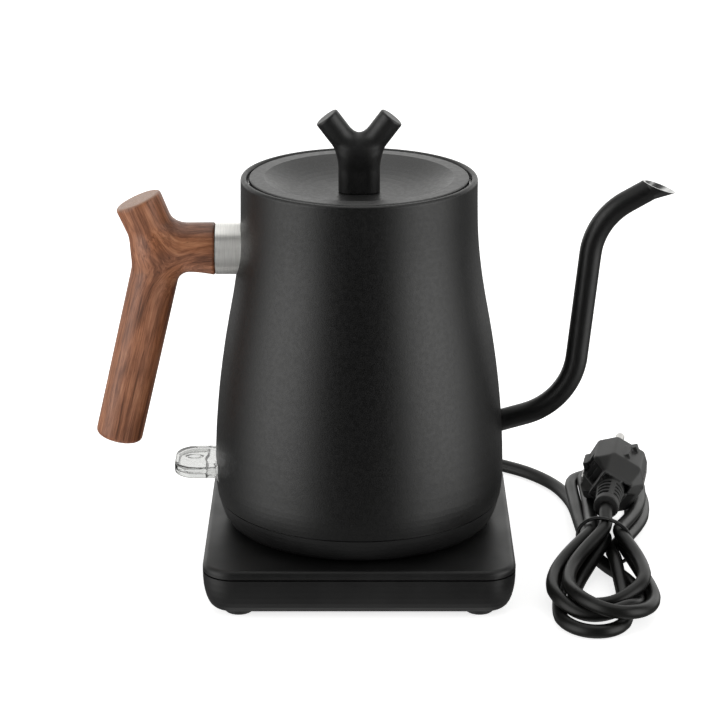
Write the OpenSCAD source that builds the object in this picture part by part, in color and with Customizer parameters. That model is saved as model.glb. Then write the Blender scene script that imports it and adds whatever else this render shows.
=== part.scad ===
// Gooseneck electric kettle on a square power base, with its cord and plug.
// Millimetres. Z is up, the floor is z = 0, the kettle's axis is the Z axis.
// The spout points along +X, the handle and the switch along -X, and the cord leaves along +Y.

/* [Base] */
// Width and depth of the square power base
base_w = 156; // [154:1:158]
// Radius of the base's vertical corners
base_corner_r = 16; // [14:1:18]
// Height of the base's flat top above the floor
base_top_z = 25.9; // [25.5:0.1:26.2]
// Height of the rubber feet under the housing
foot_h = 2.6; // [2.4:0.1:3]

/* [Kettle body] */
// Height of the seam between the steel wall and the plastic bottom
seam_z = 40.4; // [40:0.1:41]
// Widest radius of the steel wall
belly_r = 73.9; // [73.5:0.1:74.5]
// Radius of the neck below the lid
neck_r = 59.2; // [59:0.1:59.4]
// Height of the rounded rim
rim_z = 207; // [206.5:0.1:207.5]
// Thickness of the steel wall
wall = 0.8; // [0.7:0.1:0.9]

/* [Spout] */
// Outer diameter of the spout tube
spout_d = 11.2; // [11:0.1:11.6]
// Wall of the spout tube
spout_wall = 0.9; // [0.7:0.1:1]

/* [Handle] */
// Height of the handle's arm above the floor
arm_z = 169.3; // [168:0.1:170]
// Diameter of the steel ferrule and the wooden arm
arm_d = 25.8; // [25.4:0.1:26.2]
// Diameter of the wooden grip
grip_d = 23.8; // [23:0.1:24.5]

/* [Switch] */
// Width of the clear paddle
paddle_w = 32; // [30:1:33]
// Thickness of the clear paddle
paddle_t = 6; // [5.5:0.5:6]

/* [Cord] */
// Diameter of the mains cord
cord_d = 7; // [6.8:0.1:7.2]

/* [Hidden] */
$fn = 96;

// Base
base_split_z = 21.4;
split_gap = 0.4;
base_wall = 2.2;
base_deck = 2.4;
under_inset = 6;
foot_r = 7.4;
foot_x = 60;
foot_y = 64.5;
base_screw_x = 56;
base_screw_y = 44;

// Power connector on the base: a round tower with a centre hole and two ring slots
tower_r = 18.5;
tower_top_z = 37;
socket_flange_r = 25;
slot_floor_z = 24;
pin_hole_r = 3.2;
neutral_slot = [6.9, 9.7];
earth_slot = [12.5, 15.3];
run_gap = 0.3;

// Cord outlet
outlet_z = 12;
outlet_r = 5.2;
boot_flange_r = 6.8;
boot_end_y = 104;

// Kettle bottom
cover_under_z = 27.3;
seam_gap = 0.8;
cover_floor = 2.1;
cover_hole_r = 22.9;
cover_screw_r = 60;
cover_screw_angles = [0, 120, 240];
plate_z = 62;
plate_rim_h = 3.2;
spreader_r = 44.5;
steam_x = -49.6;

// Switch
pivot = [-63, 0, 53];
paddle_top_z = 57.7;
paddle_end_x = -94.3;
window_w = 35;
window_z = [49.4, 59.4];
window_corner = 5;
lamp_y = 5.6;
lamp_z = 51.4;

lamp_route = [[-42.8, 3, 46], [-40, 2.8, 45.4], [-36, 2, 43], [-31.6, 1, 42]];

// Lid
lid_r = 54.9;
lid_top_z = 206.8;
lid_flange_z = 203.5;
dish_z = 198.8;
lip_w = 3.2;
seat_bore_r = 53.5;
cup_r = 50.5;
cup_floor_z = 188;
knob_r = 6.3;
knob_half = 4.1;
knob_stem_h = 18.4;
knob_prong_z = 19.6;
knob_prong_lean = 37;
knob_prong_len = 22.6;

// Spout centreline: straight, left bend, straight, right bend, straight
spout_start = [70.5, 77.1];
spout_rise = 16;
spout_lean = 84.2;
spout_tip_angle = 30;
spout_root_len = 15;
spout_low_r = 36;
spout_high_r = 35.5;
spout_mid_len = 54.6;
spout_end_len = 13;
spout_lip_len = 20;
spout_lip_angle = 13;
mouth_high = [141.8, 204.5];
mouth_slope = -20.7;
bend_step = 0.03;

// Handle
handle_joint = [-100, arm_z];
stub_end = [-110.8, 194.8];
grip_end = [-123.7, 69];

// Plug: where its neck ends, and how it is turned
plug_place = [129.1, 9, 25.8];
plug_turn = [4.3, 0, -11];
neck_len = 21;
head_len = 31;
head_side = 17;
pin_r = 2.4;
pin_root_r = 2;
pin_len = 19;
pin_tip_len = 2;
pin_pitch = 19;

// The cord's route on the floor, from the strain relief to the hank
lead_route = [
  [0, 96, 12], [0, 104, 11.4], [1, 113, 8.8], [4, 122, 6], [10, 131, 4], [19, 139, 3.5],
  [31, 144, 3.5], [45, 145, 3.5], [58, 142, 3.5], [71, 136, 3.5], [83, 128, 3.5],
  [94, 119, 3.5], [103, 108, 3.5], [109, 97, 3.5], [113, 85, 3.5], [115, 73, 3.5]
];
// The cord's end, from the tie up into the plug's neck
tail_route = [[127.5, -7.5, 21.1], [127.8, -1.5, 23.2], [128.4, 5, 25.3], [129.7, 12, 26]];

// The tied hank: height of its loops, and the wire tie round its waist
hank_h = 16;
tie_centre = [127.5, -7.5, 13.6];
tie_wire_d = 2;
tie_half_w = 15.6;
tie_half_h = 12.5;
tie_turn = -26.6;
waist_r = 11.3;

// A wire in the base, from the cord grip to the foot of the socket
wire_route = [
  [1.8, 57, 12], [3, 50, 10.5], [6, 40, 8.5], [7, 30, 8], [6.6, 22, 10.4], [6, 17.5, 14.5],
  [6, 16, 18.6]
];

// Points between two ends of a smooth stretch; a and d are the ends, b and c pull it
function bezier(a, b, c, d, n) = [
  for (i = [1 : n]) let (t = i / n, s = 1 - t)
    s * s * s * a + 3 * t * s * s * b + 3 * t * t * s * c + t * t * t * d
];

function reversed(list) = [for (i = [len(list) - 1 : -1 : 0]) list[i]];

// Outer outline of the kettle's wall from the seam up to the neck, moved in by inset
function wall_line(inset) =
  let (
    seam = [belly_r - 1.1 - inset, seam_z],
    belly = [belly_r - inset, 52],
    waist = [belly_r - 9.1 - inset, 140],
    neck = [neck_r + 0.2 - inset, 188]
  )
  concat(
    [seam],
    bezier(seam, seam + [0.7, 4], belly - [0, 4], belly, 4),
    bezier(belly, belly + [0, 29.3], waist + [5.7, -29.3], waist, 12),
    bezier(waist, waist + [-3.1, 16], neck + [0.2, -16], neck, 10),
    [[neck_r - inset, rim_z - 3.6]]
  );

// Outer outline of the plastic bottom from its underside up to the seam, moved in by inset
function skirt_line(inset) =
  let (low = [66 - inset, cover_under_z], high = [72.3 - inset, seam_z - seam_gap])
  concat([low], bezier(low, low + [3, 0.4], high - [0.9, 6], high, 7));

function unit(v) = v / norm(v);

// Triangles of a round tube that is swept along a route, with a ring at each point
module tube(route, d, sides = 10) {
  n = len(route);
  tangents = [
    for (i = [0 : n - 1]) unit(route[min(i + 1, n - 1)] - route[max(i - 1, 0)])
  ];
  points = [
    for (i = [0 : n - 1])
      let (
        t = tangents[i],
        side = unit(cross(t, abs(t[2]) > 0.9 ? [1, 0, 0] : [0, 0, 1])),
        up = cross(side, t)
      )
      for (k = [0 : sides - 1])
        route[i] + d / 2 * (cos(360 * k / sides) * side + sin(360 * k / sides) * up)
  ];
  walls = [
    for (i = [0 : n - 2])
      for (k = [0 : sides - 1])
        let (a = i * sides + k, b = i * sides + (k + 1) % sides)
        each [[a, b, a + sides], [b, b + sides, a + sides]]
  ];
  first = [for (k = [0 : sides - 1]) sides - 1 - k];
  last = [for (k = [0 : sides - 1]) (n - 1) * sides + k];
  polyhedron(points = points, faces = concat([first], walls, [last]), convexity = 6);
}

// A ring or disc about the Z axis
module ring(outer, inner, low, high) {
  translate([0, 0, low])
    difference() {
      cylinder(r = outer, h = high - low);
      if (inner > 0)
        translate([0, 0, -1])
          cylinder(r = inner, h = high - low + 2);
    }
}

// A screw that points up: its head starts at z = 0 and its shank ends at len
module screw(head_r, head_h, shank_r, len) {
  difference() {
    union() {
      cylinder(r = head_r, h = head_h);
      translate([0, 0, head_h - 0.1])
        cylinder(r = shank_r, h = len - head_h + 0.1);
    }
    translate([-head_r, -0.3, -1])
      cube([2 * head_r, 0.6, 1.7]);
    translate([-0.3, -head_r, -1])
      cube([0.6, 2 * head_r, 1.7]);
  }
}

// A block with a square plan and round corners; side is a list of [inset, z] up its side
module rounded_block(width, corner, side) {
  core = width / 2 - corner;
  half = [for (p = side) [width / 2 - p[0], p[1]]];
  section = concat(half, reversed([for (p = half) [-p[0], p[1]]]));
  for (turn = [0, 90])
    rotate([0, 0, turn])
      translate([0, core, 0])
        rotate([90, 0, 0])
          linear_extrude(2 * core)
            polygon(section);
  low = side[0][1];
  high = side[len(side) - 1][1];
  quarter = concat([[0, low]], [for (p = side) [corner - p[0], p[1]]], [[0, high]]);
  for (turn = [0 : 90 : 270])
    rotate([0, 0, turn])
      translate([core, core, 0])
        rotate_extrude(angle = 90)
          polygon(quarter);
}

// Side of the lower housing: an upright band over a rounded underside
function housing_side(inset) = concat(
  [
    for (a = [90 : -12 : 0])
      [inset + under_inset * (1 - cos(a)), 20 - (20 - foot_h) * sin(a)]
  ],
  [[inset, base_split_z - split_gap]]
);

module base_screw_spots() {
  for (x = [-base_screw_x, base_screw_x])
    for (y = [-base_screw_y, base_screw_y])
      translate([x, y, 0])
        children();
}

module feet_spots() {
  for (x = [-foot_x, foot_x])
    for (y = [-foot_y, foot_y])
      translate([x, y, 0])
        children();
}

module base_bottom() {
  color("#1b1b1c")
    difference() {
      union() {
        difference() {
          rounded_block(base_w, base_corner_r, housing_side(0));
          translate([0, 0, base_wall])
            rounded_block(base_w - 2 * base_wall, base_corner_r - base_wall, housing_side(0));
        }
        ring(24, 21.5, foot_h + 1, 19.4);
        base_screw_spots()
          translate([0, 0, foot_h + 1])
            cylinder(r = 4.6, h = 8);
        for (x = [-11, 11])
          translate([x, 62, foot_h + 1])
            cylinder(r = 3.2, h = 4.2);
      }
      feet_spots()
        translate([0, 0, foot_h - 1])
          cylinder(r = foot_r + 0.05, h = 1.8);
      base_screw_spots() {
        translate([0, 0, foot_h - 1])
          cylinder(r = 3.3, h = 5);
        translate([0, 0, foot_h])
          cylinder(r = 1.6, h = 12);
      }
      for (x = [-11, 11])
        translate([x, 62, foot_h + 2.4])
          cylinder(r = 1.35, h = 4);
      translate([0, 60, outlet_z])
        rotate([-90, 0, 0]) {
          cylinder(r = outlet_r, h = 30);
          cylinder(r = boot_flange_r + 0.1, h = 14.8);
        }
      translate([-9, 18, foot_h + base_wall])
        cube([18, 10, 20]);
    }
}

// Side of the top cover: a short band under a rounded edge
function cover_side(inset) = concat(
  [[inset, base_split_z + split_gap]],
  [
    for (a = [0 : 15 : 90])
      [inset + 2.6 * (1 - cos(a)), base_top_z - 2.6 + 2.6 * sin(a)]
  ]
);

module base_top() {
  color("#202022")
    difference() {
      union() {
        difference() {
          rounded_block(base_w, base_corner_r, cover_side(0));
          translate([0, 0, -base_deck])
            rounded_block(base_w - 2 * base_wall, base_corner_r - base_wall, cover_side(0));
        }
        translate([0, 0, base_split_z - 2.6])
          difference() {
            rounded_block(base_w - 2 * base_wall - 0.8, 13.4, [[0, 0], [0, 4.4]]);
            translate([0, 0, -1])
              rounded_block(base_w - 4 * base_wall, 11.6, [[0, 0], [0, 7]]);
          }
        ring(50, 44, base_top_z - 1, cover_under_z - 0.05);
        base_screw_spots()
          translate([0, 0, 12.1])
            cylinder(r = 4.2, h = base_top_z - 12.1 - 1);
      }
      translate([0, 0, 10])
        cylinder(r = tower_r + 0.5, h = 30);
      base_screw_spots()
        translate([0, 0, 11])
          cylinder(r = 1.45, h = 9);
    }
}

module base_feet() {
  color("#101010")
    feet_spots()
      rotate_extrude()
        polygon(concat(
          [[0, 0]],
          [for (a = [-90 : 15 : 0]) [foot_r - 1.6 + 1.6 * cos(a), 1.6 + 1.6 * sin(a)]],
          [[foot_r, foot_h + 0.75], [0, foot_h + 0.75]]
        ));
}

module base_screws() {
  color("#9a9a9c")
    base_screw_spots()
      translate([0, 0, foot_h + 1.9])
        screw(2.9, 2.1, 1.4, 14);
}

module base_socket() {
  color("#161617")
    difference() {
      union() {
        ring(tower_r, 0, 19.4, tower_top_z);
        ring(socket_flange_r, 0, 19.4, base_top_z - base_deck);
      }
      translate([0, 0, slot_floor_z])
        cylinder(r = pin_hole_r, h = 20);
      ring(neutral_slot[1], neutral_slot[0], slot_floor_z, tower_top_z + 1);
      ring(earth_slot[1], earth_slot[0], slot_floor_z, tower_top_z + 1);
      for (x = [-6, 0, 6])
        translate([x, 16, 18])
          cylinder(r = 1.3, h = 4);
    }
}

module base_socket_contacts() {
  color("#c9a24b") {
    ring(pin_hole_r - 0.1, 0, slot_floor_z, slot_floor_z + 1.4);
    ring(neutral_slot[1] - 0.2, neutral_slot[0] + 0.2, slot_floor_z, slot_floor_z + 1.4);
    ring(earth_slot[1] - 0.2, earth_slot[0] + 0.2, slot_floor_z, slot_floor_z + 1.4);
  }
}

module cord_grip() {
  color("#2a2a2c")
    difference() {
      translate([-15, 58.5, foot_h + 5.3])
        cube([30, 7, 11]);
      translate([0, 50, outlet_z])
        rotate([-90, 0, 0])
          cylinder(d = cord_d + 0.1, h = 30);
      translate([-5, 50, foot_h])
        cube([10, 30, outlet_z - foot_h - 1]);
      for (x = [-11, 11])
        translate([x, 62, 5]) {
          cylinder(r = 1.6, h = 20);
          translate([0, 0, 12])
            cylinder(r = 2.9, h = 10);
        }
    }
}

module cord_grip_screws() {
  color("#9a9a9c")
    for (x = [-11, 11])
      translate([x, 62, 19])
        rotate([180, 0, 0])
          screw(2.7, 1.9, 1.3, 12);
}

// Rubber sleeve in the housing's wall with ribs that get smaller outwards
module strain_relief() {
  color("#131313")
    translate([0, 0, outlet_z])
      rotate([-90, 0, 0])
        difference() {
          union() {
            translate([0, 0, 70])
              cylinder(r = boot_flange_r, h = 4.7);
            translate([0, 0, 74])
              cylinder(r = outlet_r - 0.1, h = 5);
            translate([0, 0, 78.05])
              cylinder(r = 6.6, h = 2);
            translate([0, 0, 79])
              cylinder(r1 = 4.9, r2 = 4.1, h = boot_end_y - 79);
            for (i = [0 : 4])
              translate([0, 0, 83 + 4.4 * i])
                cylinder(r = 5.7 - 0.22 * i, h = 2.2);
          }
          translate([0, 0, 60])
            cylinder(d = cord_d + 0.1, h = 60);
        }
}

module live_wire() {
  color("#6b3f22")
    tube([for (p = wire_route) [-p[0], p[1], p[2]]], 2.4, 8);
}

module neutral_wire() {
  color("#2f5fa8")
    tube(wire_route, 2.4, 8);
}

module earth_wire() {
  color("#7ba33a")
    tube([for (p = wire_route) [0, p[1], p[2] + (p[1] > 35 ? 2.2 : 0.8)]], 2.4, 8);
}

module cord_lead() {
  color("#141415")
    tube(lead_route, cord_d, 10);
}

// Outline of the tied cord seen from above: a wide near loop, the tie's waist and a far loop
function hank_outline() =
  let (
    waist_l = [116.3, -7.5],
    waist_r = [138.7, -7.5],
    near_l = [93, -64],
    near_r = [149, -64],
    far_l = [110, 64],
    far_r = [158, 64],
    near = [119.5, -102],
    far = [135, 106]
  )
  concat(
    bezier(waist_l, waist_l + [-7, -12], near_l + [0, 22], near_l, 8),
    bezier(near_l, near_l - [0, 22], near - [15, 0], near, 7),
    bezier(near, near + [17, 0], near_r - [0, 22], near_r, 7),
    bezier(near_r, near_r + [0, 22], waist_r + [5, -12], waist_r, 8),
    bezier(waist_r, waist_r + [5, 12], far_r - [0, 22], far_r, 8),
    bezier(far_r, far_r + [0, 20], far + [14, 0], far, 7),
    bezier(far, far - [14, 0], far_l + [0, 20], far_l, 7),
    bezier(far_l, far_l - [0, 22], waist_l + [-3, 12], waist_l, 8)
  );

module cord_hank() {
  color("#141415")
    union() {
      linear_extrude(hank_h)
        polygon(hank_outline());
      translate([tie_centre[0], 8, tie_centre[2]])
        rotate([90, 0, 0])
          cylinder(r = waist_r, h = 32);
    }
}

// A point of the wire tie: a little over one turn, whose ends part sideways under the cord
function tie_point(a) =
  let (across = tie_half_w * cos(a), apart = (a - 90) / 160)
  tie_centre + [
    across * cos(tie_turn) - apart * sin(tie_turn),
    across * sin(tie_turn) + apart * cos(tie_turn),
    tie_half_h * sin(a)
  ];

module cord_tie() {
  color("#0d0d0d")
    tube([for (a = [-110 : 12.5 : 290]) tie_point(a)], tie_wire_d, 8);
}

module cord_tail() {
  color("#141415")
    tube(tail_route, cord_d, 10);
}

// One end view of the plug's head: a block with a ridge on top and cut corners
module head_outline(scale_by = 1) {
  polygon(scale_by * [
    [-6, 16.8], [6, 16.8], [15.2, 9], [head_side, 4], [head_side, -4], [15.2, -9], [6, -16.8],
    [-6, -16.8], [-15.2, -9], [-head_side, -4], [-head_side, 4], [-15.2, 9]
  ]);
}

module in_plug() {
  translate(plug_place)
    rotate(plug_turn)
      rotate([-90, 0, 0])
        children();
}

module plug_body() {
  color("#151516")
    in_plug()
      difference() {
        union() {
          cylinder(r1 = 5.4, r2 = 9.4, h = neck_len + 1);
          cylinder(r = 6.9, h = 2.4);
          for (i = [0 : 3])
            translate([0, 0, 5.2 + 4.1 * i])
              cylinder(r = 7.2 + 0.8 * i, h = 2.2);
          translate([0, 0, neck_len])
            linear_extrude(4)
              head_outline(0.88);
          translate([0, 0, neck_len + 4])
            linear_extrude(head_len - 8)
              head_outline(1);
          translate([0, 0, neck_len + head_len - 4])
            linear_extrude(4)
              head_outline(0.94);
        }
        translate([0, 0, -1])
          cylinder(d = cord_d + 0.1, h = 4.2);
        for (side = [-1, 1]) {
          translate([side * (head_side - 0.4) - 1.2, -3.2, neck_len + 8])
            cube([2.4, 6.4, head_len]);
          translate([0, side * pin_pitch / 2, neck_len + head_len - 10])
            cylinder(r = pin_root_r, h = 20);
        }
      }
}

module plug_pins() {
  color("#c8c9cc")
    in_plug()
      for (side = [-1, 1])
        translate([0, side * pin_pitch / 2, neck_len + head_len]) {
          translate([0, 0, -10])
            cylinder(r = pin_root_r, h = 10);
          cylinder(r = pin_r, h = pin_len - pin_tip_len);
          translate([0, 0, pin_len - pin_tip_len])
            cylinder(r1 = pin_r, r2 = 1.3, h = pin_tip_len);
        }
}

module plug_earth_clips() {
  color("#b9babc")
    in_plug()
      for (side = [-1, 1])
        translate([side * (head_side - 0.9) - 0.4, -2.6, neck_len + 9])
          cube([0.8, 5.2, head_len - 9]);
}

module earth_ring() {
  color("#c9a24b")
    ring(14.6, 13.2, 27.6, 40.6);
}

// Cut through the wall behind the switch, with round corners at its top
module switch_window() {
  half = window_w / 2;
  centre = [half - window_corner, window_z[1] - window_corner];
  corner = [for (a = [0 : 15 : 90]) centre + window_corner * [cos(a), sin(a)]];
  translate([-90, 0, 0])
    rotate([90, 0, 90])
      linear_extrude(40)
        polygon(concat(
          [[-half, window_z[0]], [half, window_z[0]]],
          corner,
          [for (p = reversed(corner)) [-p[0], p[1]]]
        ));
}

module kettle_shell() {
  lip_r = lip_w / 2;
  inner = [neck_r - lip_w, rim_z - lip_r];
  color("#232324")
    difference() {
      rotate_extrude($fn = 128)
        polygon(concat(
          wall_line(0),
          [
            for (a = [0 : 20 : 180])
              [neck_r - lip_r + lip_r * cos(a), rim_z - lip_r + lip_r * sin(a)]
          ],
          [[inner[0], rim_z - 3.6], [neck_r - wall, rim_z - 3.6]],
          reversed(wall_line(wall))
        ));
      translate([spout_start[0] - 6, 0, spout_start[1] - 1.7])
        rotate([0, 90 - spout_rise, 0])
          cylinder(d = spout_d + 0.1, h = 20);
      switch_window();
      translate([-80, 0, arm_z])
        rotate([0, 90, 0])
          cylinder(r = 3.05, h = 40);
    }
}

module lid_seat_ring() {
  color("#a9abad")
    rotate_extrude()
      polygon([
        [seat_bore_r, 192], [55, 192], [55, 200], [58.2, 201.2], [58.2, 203.4],
        [seat_bore_r, 203.4]
      ]);
}

// The spout's path as solid pieces of radius r, flared past the last bend. The bends are a hair
// thicker than the straights, so that each piece ends in a clean step.
module spout_path(r, lip_grow) {
  translate([spout_start[0], 0, spout_start[1]])
    rotate([0, -spout_rise, 0]) {
      rotate([0, 90, 0])
        cylinder(r = r, h = spout_root_len);
      translate([spout_root_len, 0, spout_low_r])
        rotate([-90, 0, 0])
          rotate([0, 0, 90])
            rotate([0, 0, -(spout_lean - spout_rise)])
              rotate_extrude(angle = spout_lean - spout_rise)
                translate([spout_low_r, 0])
                  circle(r = r + bend_step);
      translate([spout_root_len, 0, spout_low_r])
        rotate([0, -(spout_lean - spout_rise), 0])
          translate([0, 0, -spout_low_r]) {
            rotate([0, 90, 0])
              cylinder(r = r, h = spout_mid_len);
            translate([spout_mid_len, 0, -spout_high_r])
              rotate([-90, 0, 0])
                rotate([0, 0, -90])
                  rotate_extrude(angle = spout_lean - spout_tip_angle)
                    translate([spout_high_r, 0])
                      circle(r = r + bend_step);
            translate([spout_mid_len, 0, -spout_high_r])
              rotate([0, spout_lean - spout_tip_angle, 0])
                translate([0, 0, spout_high_r])
                  rotate([0, 90, 0]) {
                    cylinder(r = r, h = spout_end_len);
                    translate([0, 0, spout_end_len])
                      cylinder(r1 = r + bend_step, r2 = r + lip_grow, h = spout_lip_len);
                  }
          }
    }
}

module spout() {
  grow = spout_lip_len * tan(spout_lip_angle);
  color("#202021")
    difference() {
      spout_path(spout_d / 2, grow);
      spout_path(spout_d / 2 - spout_wall, grow);
      translate([mouth_high[0], -20, mouth_high[1]])
        rotate([0, -mouth_slope, 0])
          translate([-20, 0, 0])
            cube([60, 40, 30]);
    }
}

// A rod of two radii between two points of the handle's plane, with a bevelled far end
module branch(from, to, r_from, r_to, bevel_w, bevel_h) {
  path = to - from;
  len = norm(path);
  translate([from[0], 0, from[1]])
    rotate([0, atan2(path[0], path[1]), 0])
      rotate_extrude()
        polygon([
          [0, 0], [r_from, 0], [r_to, len - bevel_h], [r_to - bevel_w, len], [0, len]
        ]);
}

module handle_grip() {
  color("#7a3f26")
    difference() {
      union() {
        translate([-72.4, 0, arm_z])
          rotate([0, -90, 0])
            cylinder(d = arm_d, h = 27.6);
        translate([handle_joint[0], 0, handle_joint[1]])
          sphere(d = arm_d + 0.4);
        branch(handle_joint, stub_end, 11.6, 12.1, 0.9, 1.5);
        branch(handle_joint, grip_end, 12.2, grip_d / 2, 3, 3);
      }
      translate([-60, 0, arm_z])
        rotate([0, -90, 0])
          cylinder(r = 3.05, h = 38);
    }
}

module handle_ferrule() {
  color("#c3c4c6")
    difference() {
      translate([-72, 0, arm_z])
        rotate([0, 90, 0])
          cylinder(d = arm_d, h = 14);
      translate([-73, 0, arm_z])
        rotate([0, 90, 0])
          cylinder(d = arm_d - 1.6, h = 16);
      rotate_extrude($fn = 128)
        polygon(concat([[0, seam_z]], wall_line(-0.02), [[0, rim_z - 3.6]]));
    }
}

module handle_bracket() {
  color("#b4b5b7")
    difference() {
      translate([-64.5, 0, arm_z])
        rotate([0, 90, 0])
          cylinder(r = 11.2, h = 8);
      translate([-70, 0, arm_z])
        rotate([0, 90, 0])
          cylinder(r = 3.05, h = 20);
      rotate_extrude($fn = 128)
        polygon(concat([[0, seam_z]], wall_line(-0.02), [[0, rim_z - 3.6]]));
    }
}

module handle_stud() {
  color("#8f9092")
    translate([-97, 0, arm_z])
      rotate([0, 90, 0])
        cylinder(r = 3, h = 42.4);
}

module handle_nut() {
  color("#8f9092")
    translate([-58.7, 0, arm_z])
      rotate([0, 90, 0])
        difference() {
          cylinder(r = 5.4, h = 3.2, $fn = 6);
          translate([0, 0, -1])
            cylinder(r = 3.02, h = 8);
        }
}

module heating_plate() {
  color("#b9babc")
    difference() {
      union() {
        ring(72.5, 0, plate_z, plate_z + 1.2);
        ring(72.5, 71.7, plate_z, plate_z + plate_rim_h);
      }
      translate([steam_x, 0, plate_z - 1])
        cylinder(r = 4.05, h = 4);
    }
}

module heat_spreader() {
  color("#9fa1a4")
    ring(spreader_r, 0, plate_z - 3, plate_z);
}

module heating_element() {
  color("#8a8c8f")
    union() {
      translate([0, 0, plate_z - 6.5])
        rotate([0, 0, 30])
          rotate_extrude(angle = 300)
            translate([38, 0])
              circle(r = 3.4, $fn = 32);
      for (a = [36, 324])
        rotate([0, 0, a])
          translate([38, 0, plate_z - 14])
            cylinder(r = 2.4, h = 7);
    }
}

module element_terminals() {
  color("#c7c7c4")
    for (a = [36, 324])
      rotate([0, 0, a])
        translate([34.8, -0.4, plate_z - 20])
          cube([6.3, 0.8, 6]);
}

module control_unit() {
  color("#1d1d1e")
    difference() {
      union() {
        ring(31, 0, 34, 50);
        ring(22.5, 0, cover_under_z + 0.3, 35);
        for (a = [90, 210, 330])
          rotate([0, 0, a])
            translate([27, 0, 49])
              cylinder(r = 3, h = plate_z - 3 - 49);
      }
      translate([0, 0, 20])
        cylinder(r = tower_r + 1, h = 18.4);
      ring(14.9, 12.9, 37, 41);
      ring(9.1, 7.5, 37, 41);
      translate([0, 0, 36])
        cylinder(r = 2.5, h = 5);
    }
}

module connector_pin() {
  color("#c9a24b")
    translate([0, 0, 27.6]) {
      translate([0, 0, 1.4])
        cylinder(r = 2.4, h = 11.9);
      cylinder(r1 = 1.4, r2 = 2.4, h = 1.4);
    }
}

module neutral_ring() {
  color("#c9a24b")
    ring(9, 7.6, 27.6, 40.9);
}

module overheat_discs() {
  color("#d2b46a")
    for (side = [-1, 1])
      translate([0, side * 16, 52]) {
        cylinder(r = 7, h = 0.5);
        translate([0, 0, -2])
          cylinder(r = 1.2, h = 2);
      }
}

module steam_tube() {
  color("#b9babc")
    translate([steam_x, 0, 0])
      ring(4, 3.4, 57, 184);
}

module steam_disc() {
  color("#d2b46a")
    translate([steam_x, 0, 54.6])
      cylinder(r = 5.5, h = 0.5);
}

module switch_bracket() {
  color("#222224")
    difference() {
      union() {
        translate([-61, -12, 42])
          cube([18, 24, 14.8]);
        for (side = [-1, 1])
          translate([-67, side * 10.7 - 1.3, 47])
            cube([8, 2.6, 9.8]);
      }
      translate([steam_x, 0, 54.6])
        cylinder(r = 5.7, h = 5);
      translate([-60, lamp_y, lamp_z])
        rotate([0, 90, 0])
          cylinder(r = 1.55, h = 3.8);
      translate([pivot[0], -20, pivot[2]])
        rotate([-90, 0, 0])
          cylinder(r = 1.22, h = 40);
      translate([-70, -9.3, 48.6])
        cube([11, 18.6, 20]);
    }
}

module switch_pivot_pin() {
  color("#a5a6a8")
    translate([pivot[0], -12.2, pivot[2]])
      rotate([-90, 0, 0])
        cylinder(r = 1.2, h = 24.4);
}

module switch_lamp() {
  color("#d9e4ef")
    translate([-59, lamp_y, lamp_z])
      rotate([0, -90, 0]) {
        translate([0, 0, -2.6])
          cylinder(r = 1.5, h = 2.6);
        sphere(r = 1.45, $fn = 32);
      }
}

module lamp_wires() {
  color("#a33126")
    for (side = [0, 1])
      tube([for (p = lamp_route) p + [0, 3 * side, 0]], 1.6, 8);
}

module shell_brackets() {
  color("#aeb0b2")
    for (a = cover_screw_angles)
      rotate([0, 0, a])
        difference() {
          union() {
            translate([54, -6, 47])
              cube([18.4, 12, 1.2]);
            translate([71.2, -6, 47])
              cube([1.2, 12, 8]);
          }
          translate([cover_screw_r, 0, 40])
            cylinder(r = 1.45, h = 20);
        }
}

module bottom_cover() {
  color("#1c1c1d")
    difference() {
      union() {
        rotate_extrude($fn = 128)
          polygon(concat(
            [[cover_hole_r, cover_under_z]],
            skirt_line(0),
            [[71.7, seam_z - seam_gap], [71.7, 45.5], [69.8, 45.5]],
            [for (p = reversed(skirt_line(2.2))) if (p[1] > cover_under_z + cover_floor) p],
            [[64.6, cover_under_z + cover_floor], [cover_hole_r, cover_under_z + cover_floor]]
          ));
        for (a = cover_screw_angles)
          rotate([0, 0, a])
            translate([cover_screw_r, 0, cover_under_z + 0.5])
              cylinder(r = 4.3, h = 46.95 - cover_under_z - 0.5);
      }
      for (a = cover_screw_angles)
        rotate([0, 0, a])
          translate([cover_screw_r, 0, 0]) {
            cylinder(r = 3.3, h = cover_under_z + 3);
            cylinder(r = 1.6, h = 60);
          }
    }
}

module bottom_cover_screws() {
  color("#9a9a9c")
    for (a = cover_screw_angles)
      rotate([0, 0, a])
        translate([cover_screw_r, 0, cover_under_z + 0.9])
          screw(2.9, 2.1, 1.4, 23);
}

// Plan of the clear paddle: a round-ended tongue that narrows where it enters the wall
module paddle_plan(shrink = 0) {
  difference() {
    union() {
      translate([paddle_end_x + paddle_w / 2, 0])
        circle(r = paddle_w / 2 - shrink);
      translate([paddle_end_x + paddle_w / 2, -paddle_w / 2 + shrink])
        square([6 - shrink, paddle_w - 2 * shrink]);
    }
    translate([-72.3, -30])
      square([30, 60]);
  }
}

module switch_paddle() {
  low = paddle_top_z - paddle_t;
  color([0.85, 0.88, 0.9, 0.45])
    difference() {
      union() {
        translate([0, 0, low])
          linear_extrude(paddle_t)
            intersection() {
              paddle_plan();
              union() {
                translate([-100, -30])
                  square([23.6, 60]);
                translate([-80, -11.2])
                  square([20, 22.4]);
              }
            }
        translate([-73, -11.2, low])
          cube([3.4, 22.4, paddle_t - 1]);
        translate([-70, -8.6, low])
          cube([3, 17.2, paddle_t - 1]);
      }
      translate([0, 0, low - 1])
        linear_extrude(3.4)
          intersection() {
            paddle_plan(2.2);
            translate([-100, -30])
              square([22, 60]);
          }
    }
}

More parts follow.
